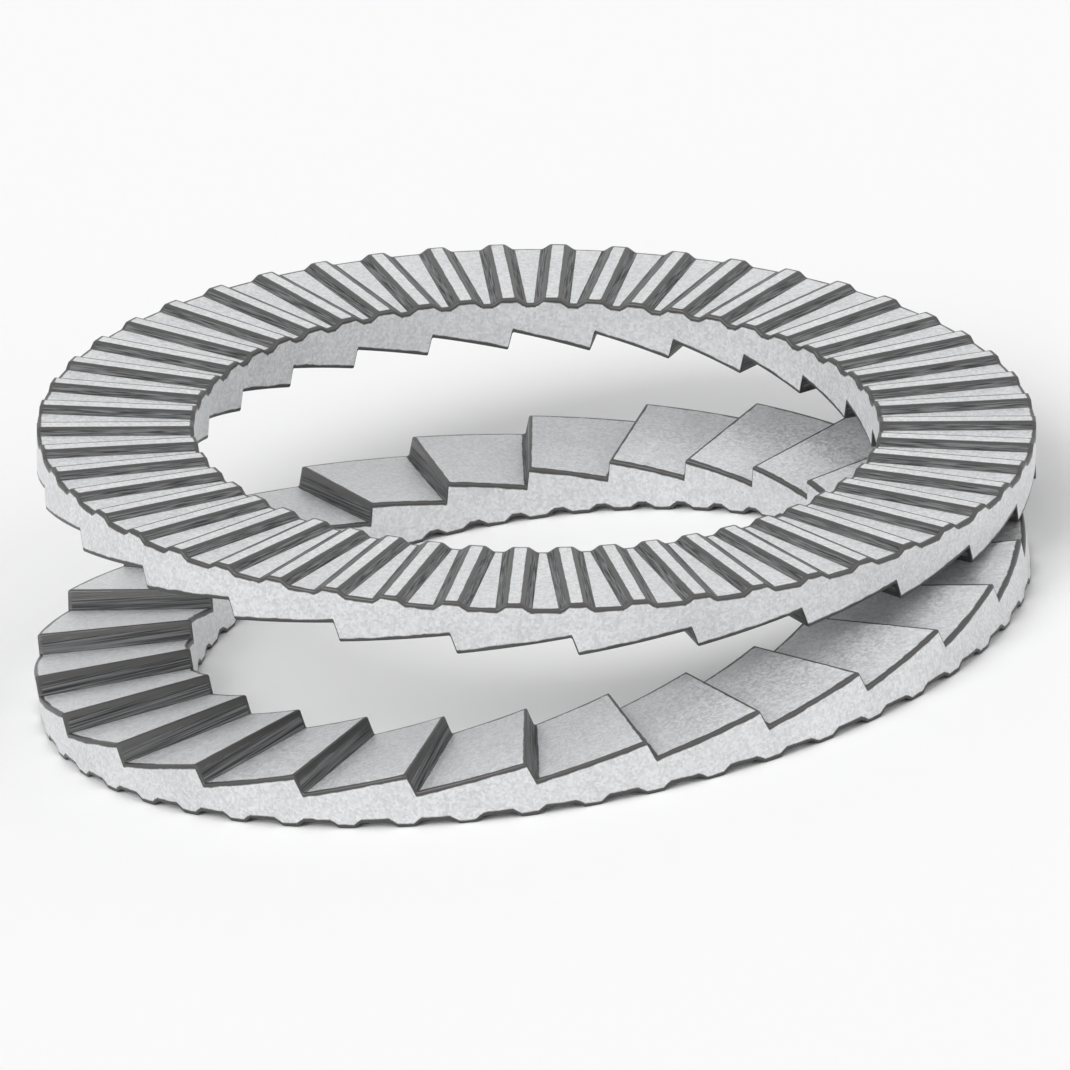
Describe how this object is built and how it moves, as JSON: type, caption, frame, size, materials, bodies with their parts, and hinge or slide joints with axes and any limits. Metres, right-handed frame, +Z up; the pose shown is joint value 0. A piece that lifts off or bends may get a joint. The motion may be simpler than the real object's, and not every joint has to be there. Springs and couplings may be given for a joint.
{
  "type": "wedge lock washer",
  "caption": "Pair of wedge-locking washer rings with radial teeth outside and sawtooth cams between, shown opened; keeps a bolted joint from turning loose.",
  "frame": {"origin": "on the axis of the lower ring, at the tooth crests that it stands on", "axes": "+Z up along the axis of the lower ring, +X towards the side where the rings meet, +Y to the far side of the view"},
  "size_m": [0.0648, 0.0718, 0.0159],
  "materials": {
    "coated_steel": "matt silver-grey zinc flake coat on hardened steel"
  },
  "bodies": {
    "root": {"lower_washer": "coated_steel", "upper_washer": "coated_steel"}
  },
  "joints": []
}
